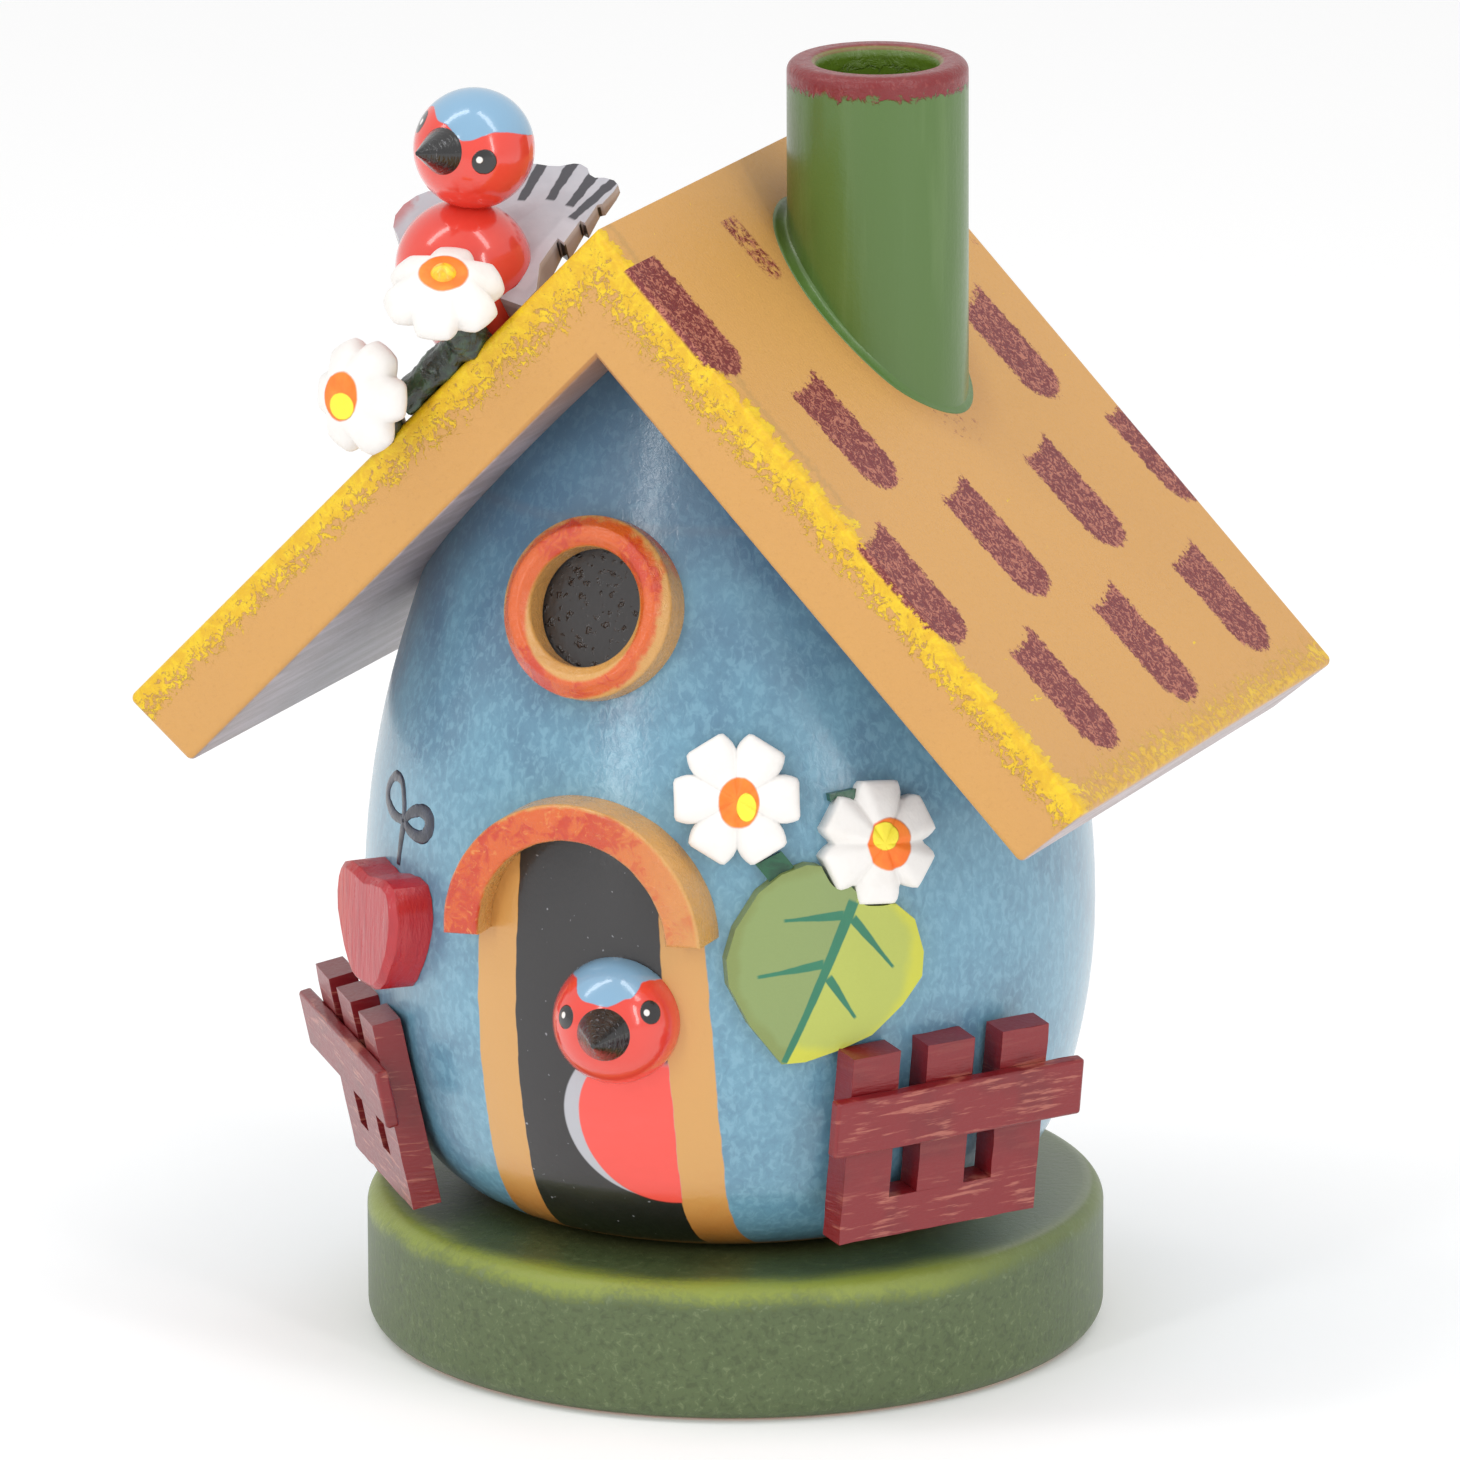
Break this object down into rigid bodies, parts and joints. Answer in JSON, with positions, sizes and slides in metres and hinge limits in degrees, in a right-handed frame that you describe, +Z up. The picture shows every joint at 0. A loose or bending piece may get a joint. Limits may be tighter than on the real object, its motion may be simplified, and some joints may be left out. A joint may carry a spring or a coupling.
{
  "type": "birdhouse incense smoker",
  "caption": "Turned egg-shaped wooden birdhouse smoker with a gable roof, a bored chimney, a lift-off base with a dish, small fences, flowers, a heart and birds",
  "frame": {"origin": "centre of the base disc's flat underside", "axes": "+Z up, -Y the way the gable front and the door face, +X to the right of someone who looks at the door, ridge along Y"},
  "size_m": [0.1112, 0.0899, 0.1402],
  "materials": {
    "base_paint": "satin green paint, varnished",
    "dish_brass": "thin pressed sheet",
    "nail_steel": "domed nail",
    "wall_paint": "mottled blue paint, varnished",
    "roof_paint": "tan paint with dabs, varnished",
    "chimney_paint": "green paint with a dark red rim",
    "orange_paint": "mottled orange paint, glossy",
    "bird_paint": "red paint with a blue cap, glossy",
    "beak_paint": "black paint, glossy",
    "wing_paint": "grey paint with black bars",
    "heart_paint": "red paint, varnished",
    "leaf_paint": "two greens with dark veins",
    "petal_paint": "white paint, matt",
    "knob_paint": "yellow paint",
    "stem_paint": "dark green paint",
    "fence_paint": "dark red paint, dry-brushed"
  },
  "bodies": {
    "base": {"base_disc": "base_paint", "incense_dish": "dish_brass", "dish_nail": "nail_steel"},
    "house": {"egg_shell": "wall_paint", "roof_board_left": "roof_paint", "roof_board_right": "roof_paint", "chimney_tube": "chimney_paint", "window_ring": "orange_paint", "door_arch": "orange_paint", "door_bird_head": "bird_paint", "roof_bird_body": "bird_paint", "roof_bird_head": "bird_paint", "door_bird_beak": "beak_paint", "roof_bird_beak": "beak_paint", "roof_bird_wings_and_tail": "wing_paint", "heart": "heart_paint", "leaf": "leaf_paint", "wall_flower_front": "petal_paint", "wall_flower_side": "petal_paint", "roof_flower_upper": "petal_paint", "roof_flower_lower": "petal_paint", "roof_flower_knob": "knob_paint", "roof_flower_stems": "stem_paint", "wall_stems": "stem_paint", "right_fence_panel": "fence_paint", "right_fence_rail": "fence_paint", "left_fence_panel": "fence_paint", "left_fence_rail": "fence_paint"}
  },
  "joints": [
    {"name": "house_lift", "type": "slide", "parent": "base", "child": "house", "axis": [0, 0, 1], "range_m": [0, 0.06]}
  ]
}
